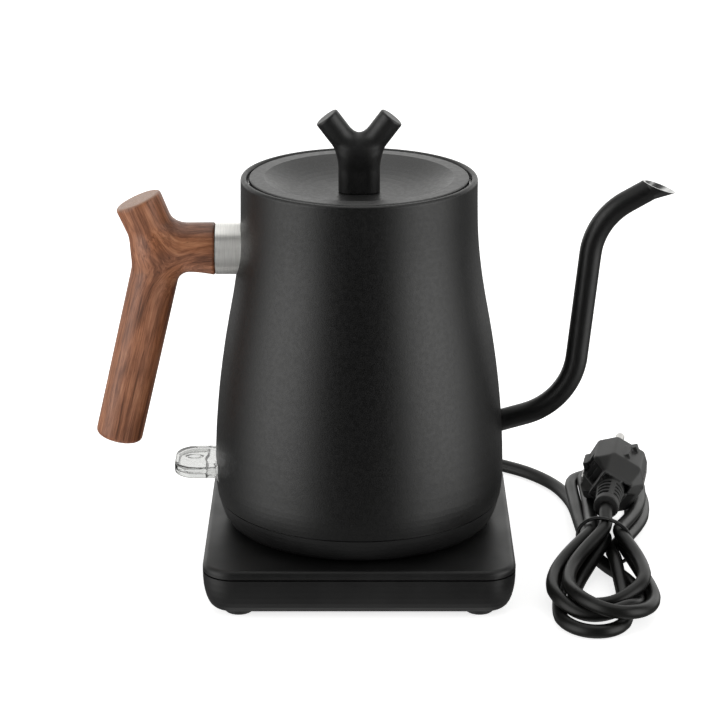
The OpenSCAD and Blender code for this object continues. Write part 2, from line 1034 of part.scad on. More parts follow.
module switch_rocker() {
  color("#2b2b2d")
    difference() {
      union() {
        translate([-67, -8.6, 49.6])
          cube([7, 17.2, 7]);
        translate([pivot[0], -9, pivot[2]])
          rotate([-90, 0, 0])
            cylinder(r = 3.2, h = 18);
      }
      translate([pivot[0], -20, pivot[2]])
        rotate([-90, 0, 0])
          cylinder(r = 1.25, h = 40);
      translate([-61.4, 3, 49])
        cube([2, 5.2, 5]);
    }
}

module lid_seal() {
  color("#3a3a3b")
    rotate_extrude()
      polygon([
        [cup_r + 0.3, 194], [cup_r + 1.2, 194], [53.2, 195.4], [52.4, 196.2], [53.2, 197.4],
        [52, 198.6], [cup_r + 0.3, 198.6]
      ]);
}

module lid_top() {
  sheet = 1.2;
  dish = [18, dish_z];
  edge = [47.4, lid_top_z];
  curve = bezier(dish, dish + [14, 0], edge - [8, 3.2], edge, 8);
  color("#2a2a2c")
    difference() {
      rotate_extrude($fn = 128)
        polygon(concat(
          [[0, dish_z], dish],
          curve,
          [[lid_r - 0.8, lid_top_z], [lid_r - 0.2, lid_top_z - 0.3], [lid_r, lid_top_z - 0.9]],
          [[lid_r, lid_flange_z], [46.4, lid_flange_z]],
          [for (p = reversed(curve)) if (p[0] < 45) p - [0, sheet]],
          [dish - [0, sheet], [0, dish_z - sheet]]
        ));
      translate([0, 0, dish_z - 3])
        cylinder(r = 2.1, h = 6);
    }
}

module lid_cup() {
  color("#b5b6b8")
    union() {
      ring(cup_r, 0, cup_floor_z, cup_floor_z + 0.8);
      ring(cup_r, cup_r - 0.8, cup_floor_z, lid_flange_z);
      ring(52.9, cup_r - 0.4, 193, 193.6);
    }
}

module lid_knob() {
  color("#1a1a1b")
    difference() {
      union() {
        translate([-knob_half, -knob_r, dish_z])
          cube([2 * knob_half, 2 * knob_r, knob_stem_h]);
        for (side = [-1, 1]) {
          translate([side * knob_half, 0, dish_z])
            cylinder(r = knob_r, h = knob_stem_h);
          translate([side * knob_half, 0, dish_z + knob_stem_h])
            sphere(r = knob_r);
          translate([side * 2.2, 0, dish_z + knob_prong_z])
            rotate([0, side * knob_prong_lean, 0]) {
              cylinder(r = knob_r, h = knob_prong_len);
              translate([0, 0, knob_prong_len])
                cylinder(r1 = knob_r, r2 = knob_r - 0.8, h = 0.9);
            }
        }
      }
      translate([0, 0, dish_z - 1])
        cylinder(r = 2.05, h = 13);
    }
}

module lid_screw() {
  color("#a5a6a8")
    translate([0, 0, dish_z - 1.2 - 0.8 - 2.4])
      screw(4, 2.4, 2, 14);
}

module lid_washer() {
  color("#a5a6a8")
    ring(6.5, 2.1, dish_z - 2, dish_z - 1.2);
}

base_bottom();
base_top();
base_feet();
base_screws();
base_socket();
base_socket_contacts();
cord_grip();
cord_grip_screws();
strain_relief();
live_wire();
neutral_wire();
earth_wire();
cord_lead();
cord_hank();
cord_tie();
cord_tail();
plug_body();
plug_pins();
plug_earth_clips();
earth_ring();
kettle_shell();
lid_seat_ring();
spout();
handle_grip();
handle_ferrule();
handle_bracket();
handle_stud();
handle_nut();
heating_plate();
heat_spreader();
heating_element();
element_terminals();
control_unit();
connector_pin();
neutral_ring();
overheat_discs();
steam_tube();
steam_disc();
switch_bracket();
switch_pivot_pin();
switch_lamp();
lamp_wires();
shell_brackets();
bottom_cover();
bottom_cover_screws();
switch_paddle();
switch_rocker();
lid_seal();
lid_top();
lid_cup();
lid_knob();
lid_screw();
lid_washer();
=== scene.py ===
"""Looks of the gooseneck electric kettle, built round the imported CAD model.

Everything lies in the model's own frame. Shapes are worked out in millimetres, because that is
how the CAD source gives its sizes, and are put into the scene in metres.
"""

import math

import bmesh
import bpy
import numpy as np
from mathutils import Matrix


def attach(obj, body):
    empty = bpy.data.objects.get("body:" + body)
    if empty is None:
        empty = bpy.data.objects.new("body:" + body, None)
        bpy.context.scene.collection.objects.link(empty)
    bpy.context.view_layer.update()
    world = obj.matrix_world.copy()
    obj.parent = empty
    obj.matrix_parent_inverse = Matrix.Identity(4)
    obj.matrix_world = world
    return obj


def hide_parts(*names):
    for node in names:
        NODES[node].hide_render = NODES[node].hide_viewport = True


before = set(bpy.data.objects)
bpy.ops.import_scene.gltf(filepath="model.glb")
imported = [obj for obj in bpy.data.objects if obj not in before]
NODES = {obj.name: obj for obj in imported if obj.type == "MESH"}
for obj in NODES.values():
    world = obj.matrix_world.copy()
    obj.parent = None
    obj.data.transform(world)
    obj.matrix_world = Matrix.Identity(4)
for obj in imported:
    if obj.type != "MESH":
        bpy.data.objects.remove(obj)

SCENE = bpy.context.scene
MM = 0.001
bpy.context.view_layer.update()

# The camera: where it stands, how far it looks down, and its lens
CAMERA_PLACE = (0.0004, -1.2979, 0.5463)
CAMERA_TILT = 71.425
CAMERA_LENS = 134.27

# The mains cord, in millimetres: from the strain relief over the floor to the tied hank
CORD_D = 7
LEAD_ROUTE = [
    (0, 96, 12), (0, 104, 11.4), (1, 113, 8.8), (4, 122, 6), (10, 131, 4), (19, 139, 3.5),
    (31, 144, 3.5), (45, 145, 3.5), (58, 142, 3.5), (71, 136, 3.5), (83, 128, 3.5),
    (94, 119, 3.5), (103, 108, 3.5), (109.5, 97, 3.5), (114, 85, 3.5), (117, 73, 3.5),
]
HANK_ENTRY = [(119, 60, 3.5), (120, 45, 3.5), (120.5, 28, 3.5), (121.5, 10, 4.6)]
TAIL_ROUTE = [(127.8, -1.5, 23.2), (128.4, 5, 25.3), (129.7, 12, 26)]

# The wire tie round the hank's waist
TIE_CENTRE = np.array([127.5, -7.5, 13.6])
TIE_WIRE_D = 2
TIE_HALF_W = 15.6
TIE_HALF_H = 12.5
TIE_TURN = math.radians(-26.6)

# Eight strands pass through the tie: seven on a ring round one in the middle
STRAND_RING = 8.1
STRAND_ANGLES = {
    "top": 90, "up_r": 38.6, "right": -12.9, "low_r": -64.3, "low_l": -115.7, "left": 192.9,
    "up_l": 141.4,
}
# Each loop of the hank: the strand that it starts from, its first side, its end, its other side,
# and the strand that it comes back to
LOOPS = [
    ("low_l", (142, -58, 3.5), (118, -89, 6), (96.6, -64, 11), "up_l"),
    ("up_l", (123.3, 82, 13), (137, 97.5, 12), (153, 77, 12), "up_r"),
    ("up_r", (144, -55, 12.5), (124, -80, 7.5), (106, -56, 3.5), "mid"),
    ("mid", (123.2, 65, 3.5), (135.7, 79, 3.5), (148.2, 64, 3.5), "low_r"),
    ("low_r", (135, -76, 3.5), (117.5, -98.4, 3.5), (101, -78, 3.5), "left"),
    ("left", (116.5, 80, 10), (134, 102.5, 8), (154.3, 76, 5), "right"),
    ("right", (143.5, -66, 6), (126, -94, 9), (104, -64, 13), "top"),
]

# The handle, in the plane y = 0
HANDLE_JOINT = np.array([-100, 0, 169.3])
ARM_END = np.array([-72.4, 0, 169.3])
STUB_END = np.array([-110.8, 0, 194.8])
GRIP_END = np.array([-123.7, 0, 69])
ARM_R = (13.1, 13.3)
ARM_WAIST = 1.5
STUB_R = (11.5, 12.1)
GRIP_R = (12.1, 11.9)
STUD_END = np.array([-98, 0, 169.3])
STUD_BORE_R = 3.05

# The knob
DISH_Z = 198.8
STEM_R = 6.3
STEM_HALF = 4.1
STEM_H = 19.6
PRONG_TILT = math.radians(37)
PRONG_LEN = 23.5
SCREW_BORE_R = 2.05

# The plug: where its neck starts and how it is turned. It points along +Y in its own frame
PLUG_PLACE = (129.1, 9, 25.8)
PLUG_PITCH = math.radians(4.3)
PLUG_YAW = math.radians(-11)
PLUG_ROLL = math.radians(16)
NECK_LEN = 21
NECK_R = 6
NECK_FLARE = 1.3
COLLAR_R = 6.7
COLLAR_LEN = 3.6
SLOT_PLACES = (6.8, 10.3, 13.8, 17.3)
SLOT_HALF = 0.95
SLOT_DEPTH = 2
WEB_TURN = 33
WEB_HALF = 1.3
HEAD_LEN = 31
HEAD_SIDE = 17
HEAD_TOP = 16.8
# The head's sides as (across, up, distance), and its rear facets as (across, up, back, distance)
HEAD_SIDES = [(1, 0, HEAD_SIDE), (0, 1, HEAD_TOP), (0.707, 0.707, 15.7)]
HEAD_FACETS = [(0.52, 0.56, 0.64, 5.8), (0, 0.79, 0.61, 8.1), (0.79, 0, 0.61, 8.6)]
# The lozenge-shaped hollow behind the head, and the lip round it
HOLLOW_R = 7.3
HOLLOW_DEPTH = 4
LIP_R = (7.5, 8.4)
LIP_HALF = 1.1
# The ribbed grip pocket in the head's upper left side
POCKET_DEPTH = 3.2
RIB_PITCH = 2.5
RIB_H = 1.6
# Small blocks on the head as (centre, half size, fillet)
HEAD_BLOCKS = [
    ((10.4, 19, 11.6), (2, 6, 1.3), 0.5),
    ((13, 26.4, 9.6), (2, 2.6, 1.9), 0.4),
    ((-12.2, 20, 9.6), (1.5, 6, 2.6), 0.5),
]
CLIP_SLOT_HALF = 3.2
CLIP_SLOT_DEPTH = 1.4

# The clear paddle: its rounded end, its sides and the tongue that enters the kettle's wall
PADDLE_END = -94.8
PADDLE_HALF = 17
PADDLE_CORNER = 11.5
PADDLE_TOP = 57.7
PADDLE_LOW = 51.7
PADDLE_WALL = 2.2
RECESS_DEPTH = 2.4
RECESS_BACK = -78
WALL_GAP_R = 74.7
TONGUE_FRONT = -78.3
TONGUE_HALF = 11.2
TONGUE_BACK = -69.6

# The cut through the wall behind the paddle
WINDOW_HALF = 17.7
WINDOW_Z = (49.3, 59.5)

# The spout's mouth is a plane cut through the flared tip, which runs from TIP_START along TIP_AXIS
MOUTH_POINT = np.array([141.8, 0, 204.5])
MOUTH_SLOPE = math.radians(-20.7)
TIP_START = np.array([133.9, 0, 193.7])
TIP_AXIS = np.array([math.cos(math.radians(30)), 0, math.sin(math.radians(30))])


# ---------------------------------------------------------------- camera, floor and light

def put_in_scene(piece):
    SCENE.collection.objects.link(piece)
    return piece


def make_camera():
    data = bpy.data.cameras.new("camera")
    data.sensor_width = 36
    data.lens = CAMERA_LENS
    camera = put_in_scene(bpy.data.objects.new("camera", data))
    camera.location = CAMERA_PLACE
    camera.rotation_euler = (math.radians(CAMERA_TILT), 0, 0)
    SCENE.camera = camera


def node(tree, kind, inputs=None, **settings):
    """A new shader node. Settings are its properties; inputs are plain values or sockets."""
    made = tree.nodes.new("ShaderNode" + kind)
    for key, value in settings.items():
        setattr(made, key, value)
    for key, value in (inputs or {}).items():
        if isinstance(value, bpy.types.NodeSocket):
            tree.links.new(value, made.inputs[key])
        else:
            made.inputs[key].default_value = value
    return made


def calc(tree, operation, *values):
    """The result of one Math node."""
    return node(tree, "Math", dict(enumerate(values)), operation=operation).outputs[0]


def step_up(tree, value, low, high, to_low=0.0, to_high=1.0):
    """A smooth rise from to_low to to_high as value goes from low to high."""
    made = node(
        tree,
        "MapRange",
        {"Value": value, "From Min": low, "From Max": high, "To Min": to_low, "To Max": to_high},
        interpolation_type="SMOOTHSTEP",
    )
    return made.outputs["Result"]


def make_world():
    """A white studio: a bright backdrop, a soft box on each side and a soft light from above."""
    world = bpy.data.worlds.new("studio")
    SCENE.world = world
    world.use_nodes = True
    tree = world.node_tree
    tree.nodes.clear()
    direction = node(tree, "TexCoord").outputs["Generated"]
    xyz = node(tree, "SeparateXYZ", {0: direction})
    x, y, z = xyz.outputs
    bearing = calc(tree, "ARCTAN2", x, calc(tree, "MULTIPLY", y, -1))
    azimuth = calc(tree, "DEGREES", calc(tree, "ABSOLUTE", bearing))
    side = calc(
        tree, "MULTIPLY", step_up(tree, azimuth, 30, 54), step_up(tree, azimuth, 72, 114, 1, 0)
    )
    height = calc(
        tree, "MULTIPLY", step_up(tree, z, -0.65, -0.15), step_up(tree, z, 0.45, 0.85, 1, 0)
    )
    boxes = calc(tree, "MULTIPLY", calc(tree, "MULTIPLY", side, height), 2.6)
    backdrop = calc(
        tree, "MULTIPLY", step_up(tree, y, 0.3, 0.75), step_up(tree, z, -0.3, 0.02)
    )
    backdrop = calc(tree, "MULTIPLY", backdrop, step_up(tree, z, 0.2, 0.55, 1.25, 0.95))
    above = calc(
        tree, "MULTIPLY", step_up(tree, z, 0.7, 0.95), step_up(tree, y, -0.45, 0.05, 0, 1.3)
    )
    down = calc(tree, "MULTIPLY", z, -1)
    below = calc(
        tree, "ADD", step_up(tree, down, 0.12, 0.6, 0, 0.16), step_up(tree, down, 0.9, 0.98, 0, 0.7)
    )
    lit = calc(tree, "ADD", calc(tree, "ADD", boxes, backdrop), calc(tree, "ADD", above, below))
    lit = calc(tree, "ADD", lit, 0.01)
    plain = node(tree, "LightPath").outputs["Is Camera Ray"]
    studio = node(tree, "Background", {"Color": (1, 1, 0.985, 1), "Strength": lit})
    white = node(tree, "Background", {"Color": (1, 1, 1, 1), "Strength": 1.05})
    mixed = node(tree, "MixShader", {0: plain, 1: studio.outputs[0], 2: white.outputs[0]})
    node(tree, "OutputWorld", {"Surface": mixed.outputs[0]})


def make_floor():
    """A plain white sheet under the object. Reflections don't show it, as if it were matt paper."""
    mesh = bpy.data.meshes.new("floor")
    half = 3
    mesh.from_pydata(
        [(-half, -half, 0), (half, -half, 0), (half, half, 0), (-half, half, 0)], [], [(0, 1, 2, 3)]
    )
    floor = put_in_scene(bpy.data.objects.new("floor", mesh))
    paper = bpy.data.materials.new("floor_paper")
    paper.use_nodes = True
    tree = paper.node_tree
    tree.nodes.clear()
    matt = node(tree, "BsdfDiffuse", {"Color": (0.8, 0.8, 0.8, 1)})
    glow = node(tree, "Emission", {"Color": (1, 1, 1, 1), "Strength": 0.76})
    both = node(tree, "AddShader", {0: matt.outputs[0], 1: glow.outputs[0]})
    node(tree, "OutputMaterial", {"Surface": both.outputs[0]})
    mesh.materials.append(paper)
    floor.visible_glossy = False
    floor.visible_shadow = False


# ---------------------------------------------------------------- materials

def material(name, colour, roughness, **sockets):
    """A Principled material with plain values; returns it, its tree and its shader node."""
    made = bpy.data.materials.new(name)
    made.use_nodes = True
    tree = made.node_tree
    shader = next(n for n in tree.nodes if n.type == "BSDF_PRINCIPLED")
    shader.inputs["Base Color"].default_value = (*colour, 1)
    shader.inputs["Roughness"].default_value = roughness
    for key, value in sockets.items():
        shader.inputs[key.replace("_", " ")].default_value = value
    return made, tree, shader


def object_coordinates(tree, stretch=(1, 1, 1)):
    place = node(tree, "TexCoord").outputs["Object"]
    if stretch == (1, 1, 1):
        return place
    return node(tree, "Mapping", {"Vector": place, "Scale": stretch}).outputs[0]


def noise(tree, size, detail=2, place=None, rough=0.5, distortion=0.0):
    """Noise whose blotches are about size metres across."""
    inputs = {
        "Vector": place or object_coordinates(tree),
        "Scale": 1 / size,
        "Detail": detail,
        "Roughness": rough,
        "Distortion": distortion,
    }
    return node(tree, "TexNoise", inputs).outputs["Fac"]


def ramp(tree, value, stops):
    """A colour ramp; stops are (position, (red, green, blue))."""
    made = node(tree, "ValToRGB", {"Fac": value})
    elements = made.color_ramp.elements
    while len(elements) < len(stops):
        elements.new(0.5)
    for element, (position, colour) in zip(elements, stops):
        element.position = position
        element.color = (*colour, 1)
    return made.outputs["Color"]


def shades(tree, value, colour, spread):
    """The colour a little darker and lighter with value, which is about 0.3 to 0.7."""
    dark = tuple(c * (1 - spread) for c in colour)
    light = tuple(c * (1 + spread) for c in colour)
    return ramp(tree, value, [(0.3, dark), (0.7, light)])


def roughen(tree, shader, height, depth):
    """Bump from height, depth metres deep."""
    made = node(tree, "Bump", {"Height": height, "Distance": depth, "Strength": 1.0})
    tree.links.new(made.outputs[0], shader.inputs["Normal"])


def vary(tree, shader, socket, value, low, high):
    tree.links.new(step_up(tree, value, 0.3, 0.7, low, high), shader.inputs[socket])


def powder_coat(name, colour, roughness, peel_part=0.5, depth=0.00005):
    """Black powder coat: a fine speckle over an orange-peel surface."""
    made, tree, shader = material(name, colour, roughness)
    speckle = noise(tree, 0.0007, 3, rough=0.6)
    peel = noise(tree, 0.002, 2)
    tree.links.new(shades(tree, speckle, colour, 0.45), shader.inputs["Base Color"])
    vary(tree, shader, "Roughness", peel, roughness - 0.03, roughness + 0.04)
    height = calc(tree, "ADD", speckle, calc(tree, "MULTIPLY", peel, peel_part))
    roughen(tree, shader, height, depth)
    return made


def moulded(name, colour, roughness, grain=0.0006, depth=0.00003, shine=0.5):
    """Moulded plastic or rubber with a fine etched grain and faint rubbed patches."""
    made, tree, shader = material(name, colour, roughness, Specular_IOR_Level=shine)
    etched = noise(tree, grain, 3, rough=0.6)
    rubbed = noise(tree, 0.02, 3)
    tree.links.new(shades(tree, rubbed, colour, 0.15), shader.inputs["Base Color"])
    vary(tree, shader, "Roughness", rubbed, roughness - 0.04, roughness + 0.04)
    roughen(tree, shader, etched, depth)
    return made


def brushed(name, colour, roughness, along, stretched=0.0):
    """Steel with fine scratches across the axis that `along` names, which may stretch its shine."""
    made, tree, shader = material(
        name, colour, roughness, Metallic=0.86 if stretched else 1.0, Anisotropic=stretched
    )
    squeeze = tuple(1.0 if axis == along else 0.02 for axis in "xyz")
    scratches = noise(tree, 0.00025, 4, object_coordinates(tree, squeeze), rough=0.7)
    stains = noise(tree, 0.006, 2)
    tree.links.new(shades(tree, scratches, colour, 0.16), shader.inputs["Base Color"])
    marks = calc(tree, "MULTIPLY", scratches, 0.7)
    mixed = calc(tree, "ADD", marks, calc(tree, "MULTIPLY", stains, 0.3))
    vary(tree, shader, "Roughness", mixed, roughness - 0.08, roughness + 0.08)
    roughen(tree, shader, scratches, 0.00002)
    if stretched:
        shader.inputs["Anisotropic Rotation"].default_value = 0.25
        tangent = node(tree, "Tangent", direction_type="RADIAL", axis=along.upper())
        tree.links.new(tangent.outputs[0], shader.inputs["Tangent"])
    return made


def metal(name, colour, roughness, grain=0.0015):
    """Plain metal with faint uneven shine."""
    made, tree, shader = material(name, colour, roughness, Metallic=1.0)
    clouds = noise(tree, grain, 4, rough=0.6)
    tree.links.new(shades(tree, clouds, colour, 0.12), shader.inputs["Base Color"])
    vary(tree, shader, "Roughness", clouds, roughness - 0.05, roughness + 0.08)
    roughen(tree, shader, clouds, 0.00001)
    return made


def clear(name, colour, roughness):
    """Clear moulded plastic with faint flow marks."""
    made, tree, shader = material(
        name, colour, roughness, Transmission_Weight=1.0, IOR=1.49
    )
    flow = noise(tree, 0.006, 2, distortion=1.0)
    roughen(tree, shader, flow, 0.0001)
    return made


def wood():
    """Oiled walnut. The mesh carries the grain's run in millimetres: along, across and depth."""
    made, tree, shader = material("walnut", (0.23, 0.1, 0.055), 0.42, Coat_Weight=0.06)
    grain = node(tree, "Attribute", attribute_name="grain").outputs["Vector"]

    def streaks(run, across, detail, distortion=0.0):
        scaled = node(
            tree, "Mapping", {"Vector": grain, "Scale": (1 / run, 1 / across, 1 / across)}
        )
        return node(
            tree,
            "TexNoise",
            {
                "Vector": scaled.outputs[0],
                "Scale": 1.0,
                "Detail": detail,
                "Roughness": 0.6,
                "Distortion": distortion,
            },
        ).outputs["Fac"]

    broad = streaks(42, 5.5, 3, 0.6)
    figure = streaks(30, 1.7, 4, 0.9)
    fibres = streaks(12, 0.36, 3, 0.2)
    pores = streaks(6, 0.3, 2)
    patches = streaks(24, 13, 2, 0.5)
    mixed = calc(tree, "MULTIPLY", broad, 0.34)
    mixed = calc(tree, "ADD", mixed, calc(tree, "MULTIPLY", figure, 0.44))
    mixed = calc(tree, "ADD", mixed, calc(tree, "MULTIPLY", fibres, 0.22))
    tone = ramp(
        tree,
        mixed,
        [
            (0.36, (0.085, 0.028, 0.011)),
            (0.45, (0.195, 0.07, 0.03)),
            (0.52, (0.3, 0.118, 0.056)),
            (0.62, (0.43, 0.2, 0.105)),
        ],
    )
    cast = ramp(tree, patches, [(0.35, (0.78, 0.74, 0.72)), (0.65, (1.1, 1.08, 1.06))])
    tinted = node(
        tree, "Mix", {0: 1.0, 6: tone, 7: cast}, data_type="RGBA", blend_type="MULTIPLY"
    ).outputs[2]
    dots = ramp(tree, pores, [(0.3, (0.45, 0.4, 0.36)), (0.42, (1, 1, 1))])
    pitted = node(
        tree, "Mix", {0: 0.8, 6: tinted, 7: dots}, data_type="RGBA", blend_type="MULTIPLY"
    ).outputs[2]
    cut = node(tree, "Attribute", attribute_name="end_grain").outputs["Fac"]
    pale = ramp(tree, fibres, [(0.35, (0.3, 0.17, 0.11)), (0.65, (0.44, 0.27, 0.19))])
    ended = node(tree, "Mix", {0: cut, 6: pitted, 7: pale}, data_type="RGBA").outputs[2]
    tree.links.new(ended, shader.inputs["Base Color"])
    vary(tree, shader, "Roughness", figure, 0.5, 0.36)
    height = calc(tree, "ADD", calc(tree, "MULTIPLY", fibres, 0.5), pores)
    roughen(tree, shader, height, 0.00008)
    return made


# ---------------------------------------------------------------- shapes

def curve_piece(name, points, diameter, sides):
    """A round wire or cord along a smooth line through points, which are in millimetres."""
    data = bpy.data.curves.new(name, "CURVE")
    data.dimensions = "3D"
    data.bevel_depth = diameter / 2 * MM
    data.bevel_resolution = sides // 4
    data.use_fill_caps = True
    data.twist_mode = "MINIMUM"
    line = data.splines.new("POLY")
    line.points.add(len(points) - 1)
    for place, point in zip(line.points, points):
        place.co = (*(float(v) * MM for v in point), 1)
    line.use_smooth = True
    return put_in_scene(bpy.data.objects.new(name, data))


def finished(piece, body, look, slot_name, *stands_for):
    """Puts the material on a new piece and ties it to the CAD model."""
    piece.data.materials.clear()
    piece.data.materials.append(look)
    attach(piece, body)
    if stands_for:
        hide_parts(*stands_for)
    return piece


def follow(points, distance, rounds=10):
    """Moves points along the slope of distance() until it is zero there."""
    reach = 0.02
    for _ in range(rounds):
        value = distance(points)
        slope = np.stack(
            [
                (distance(points + reach * axis) - distance(points - reach * axis)) / (2 * reach)
                for axis in np.eye(3)
            ],
            axis=1,
        )
        size = np.maximum((slope**2).sum(axis=1), 0.25)
        points = points - (np.clip(value, -2, 2) / size)[:, None] * slope
    return points


def shaped(name, mesh, voxel, distance, place=None):
    """A piece whose surface is where distance() is zero: mesh, made even and moved onto it."""
    place = place or Matrix.Identity(4)
    back = np.array(place.inverted())
    forth = np.array(place)
    piece = put_in_scene(bpy.data.objects.new(name, mesh))
    for size in (voxel * 1.5, voxel):
        even = piece.modifiers.new("even", "REMESH")
        even.mode = "VOXEL"
        even.voxel_size = size * MM
        evaluated = piece.evaluated_get(bpy.context.evaluated_depsgraph_get())
        remade = bpy.data.meshes.new_from_object(evaluated)
        piece.modifiers.clear()
        points = np.empty(len(remade.vertices) * 3, np.float32)
        remade.vertices.foreach_get("co", points)
        points = points.reshape(-1, 3) / MM
        local = points @ back[:3, :3].T + back[:3, 3]
        local = follow(local, distance)
        points = (local @ forth[:3, :3].T + forth[:3, 3]) * MM
        remade.vertices.foreach_set("co", points.astype(np.float32).ravel())
        remade.update()
        piece.data = remade
    piece.data.shade_smooth()
    return piece


def rod(points, start, end, r_start, r_end, edge):
    """Distance to a rod: round at its start, flat with a rounded rim at its end."""
    axis = end - start
    length = np.linalg.norm(axis)
    axis = axis / length
    along = (points - start) @ axis
    out = np.linalg.norm(points - start - along[:, None] * axis, axis=1)
    radius = r_start + (r_end - r_start) * np.clip(along / length, 0, 1)
    side = np.hypot(out, np.minimum(along, 0)) - radius
    cap = along - length
    corner = np.hypot(np.maximum(side + edge, 0), np.maximum(cap + edge, 0))
    return np.minimum(np.maximum(side, cap) + edge, 0) + corner - edge


def melt(a, b, width):
    """The smaller of two distances, with a fillet where they are within width of each other."""
    near = np.maximum(width - np.abs(a - b), 0) / width
    return np.minimum(a, b) - near**2 * width / 4


def cut(a, b, width):
    """The larger of two distances, with a rounded edge of about that width."""
    return -melt(-a, -b, width)


# ---------------------------------------------------------------- cord, tie and plug

def bezier(a, b, c, d, count):
    """Points after a, up to d, of the Bezier curve with handles b and c."""
    t = (np.arange(1, count + 1) / count)[:, None]
    return (1 - t) ** 3 * a + 3 * t * (1 - t) ** 2 * b + 3 * t**2 * (1 - t) * c + t**3 * d


def loop_points(start, side, end, other, stop):
    """One loop of the hank: out of the tie, along a side, round the end and back into it."""
    start, side, end, other, stop = (np.array(p, float) for p in (start, side, end, other, stop))
    lead = np.array([0.35, 0.28, 0.3])
    bow = 0.55
    length = np.array([0, 1, 0])
    width = np.array([1, 0, 0])
    return np.concatenate([
        bezier(start, start + (side - start) * lead, side - 0.45 * (side - start) * length, side, 4),
        bezier(side, side + bow * (end - side) * length, end - bow * (end - side) * width, end, 4),
        bezier(end, end + bow * (other - end) * width, other - bow * (other - end) * length, other, 4),
        bezier(other, other + 0.45 * (stop - other) * length, stop - (stop - other) * lead, stop, 4),
    ])


def smooth_line(points, per):
    """A smooth line through points, with `per` steps from each to the next."""
    before = np.vstack([points[:1], points[:-2]])
    after = np.vstack([points[2:], points[-1:]])
    line = []
    for i in range(per):
        t = i / per
        line.append(
            0.5
            * (
                2 * points[:-1]
                + (points[1:] - before) * t
                + (2 * before - 5 * points[:-1] + 4 * points[1:] - after) * t**2
                + (3 * points[:-1] - before - 3 * points[1:] + after) * t**3
            )
        )
    return np.vstack([np.stack(line, axis=1).reshape(-1, 3), points[-1:]])


def evenly(line, step):
    """The same line with points a step apart."""
    run = np.concatenate([[0], np.cumsum(np.linalg.norm(np.diff(line, axis=0), axis=1))])
    at = np.linspace(0, run[-1], round(run[-1] / step) + 1)
    return np.stack([np.interp(at, run, line[:, k]) for k in range(3)], axis=1)


def settled(line, step, gap, floor):
    """Moves the strands of a cord apart, softly, until they lie on each other and on the floor."""
    start = line.copy()
    count = len(line)
    index = np.arange(count)
    apart = np.abs(index[:, None] - index) * step > 3 * gap
    held = np.minimum(index * step, (count - 1 - index) * step)[:, None]
    free = np.clip((held - 20) / 40, 0, 1)
    for turn in range(150):
        between = line[:, None] - line
        reach = np.linalg.norm(between, axis=2)
        reach[~apart] = 1e6
        close = np.maximum(gap - reach, 0)
        push = (close / np.maximum(reach, 1e-6))[:, :, None] * between
        most = np.maximum(1, (close > 0).sum(axis=1))[:, None]
        line = line + 0.5 * push.sum(axis=1) / most * free
        line[:, 2] = np.maximum(line[:, 2], np.where(free[:, 0] > 0, floor, line[:, 2]))
        if turn < 140:
            shift = line - start
            for _ in range(2):
                shift[1:-1] = 0.25 * shift[:-2] + 0.5 * shift[1:-1] + 0.25 * shift[2:]
            line = start + shift
    for _ in range(4):
        line[1:-1] = 0.25 * line[:-2] + 0.5 * line[1:-1] + 0.25 * line[2:]
    return line


def cord_line():
    """The cord's whole centreline, from inside the strain relief to the plug's neck."""
    ring = {
        name: TIE_CENTRE
        + STRAND_RING * np.array([math.cos(math.radians(a)), 0, math.sin(math.radians(a))])
        for name, a in STRAND_ANGLES.items()
    }
    ring["mid"] = TIE_CENTRE
    points = [np.array(LEAD_ROUTE + HANK_ENTRY, float), ring["low_l"][None]]
    for start, side, end, other, stop in LOOPS:
        points.append(loop_points(ring[start], side, end, other, ring[stop]))
    points.append(np.array(TAIL_ROUTE, float))
    step = 2.5
    line = evenly(smooth_line(np.vstack(points), 8), step)
    return settled(line, step, CORD_D + 0.05, CORD_D / 2)


def tie_line():
    """A little over one turn of wire, whose ends part sideways under the cord."""
    line = []
    for a in np.radians(np.arange(-110, 291, 5)):
        across = TIE_HALF_W * math.cos(a)
        apart = (math.degrees(a) - 90) / 160
        line.append(
            TIE_CENTRE
            + [
                across * math.cos(TIE_TURN) - apart * math.sin(TIE_TURN),
                across * math.sin(TIE_TURN) + apart * math.cos(TIE_TURN),
                TIE_HALF_H * math.sin(a),
            ]
        )
    return line


def box(points, centre, half):
    """Distance to a box, with the larger of its sides' distances outside its corners."""
    return np.max(np.abs(points - np.array(centre)) - np.array(half), axis=1)


def plug_neck(y, out, angle):
    """Distance to the neck and its collar; out and angle are measured round the neck's axis."""
    neck_r = NECK_R + NECK_FLARE * np.clip(y / NECK_LEN, 0, 1)
    neck = cut(out - neck_r, np.maximum(-y, y - NECK_LEN - 6), 1.0)
    collar = cut(out - COLLAR_R, np.abs(y - COLLAR_LEN / 2) - COLLAR_LEN / 2, 0.8)
    neck = melt(neck, collar, 0.6)
    web = np.abs((angle - WEB_TURN + 45) % 90 - 45)
    for place in SLOT_PLACES:
        slot = cut(np.abs(y - place) - SLOT_HALF, (neck_r - SLOT_DEPTH) - out, 0.4)
        slot = cut(slot, WEB_HALF - np.radians(web) * out, 0.4)
        neck = cut(neck, -slot, 0.4)
    return neck


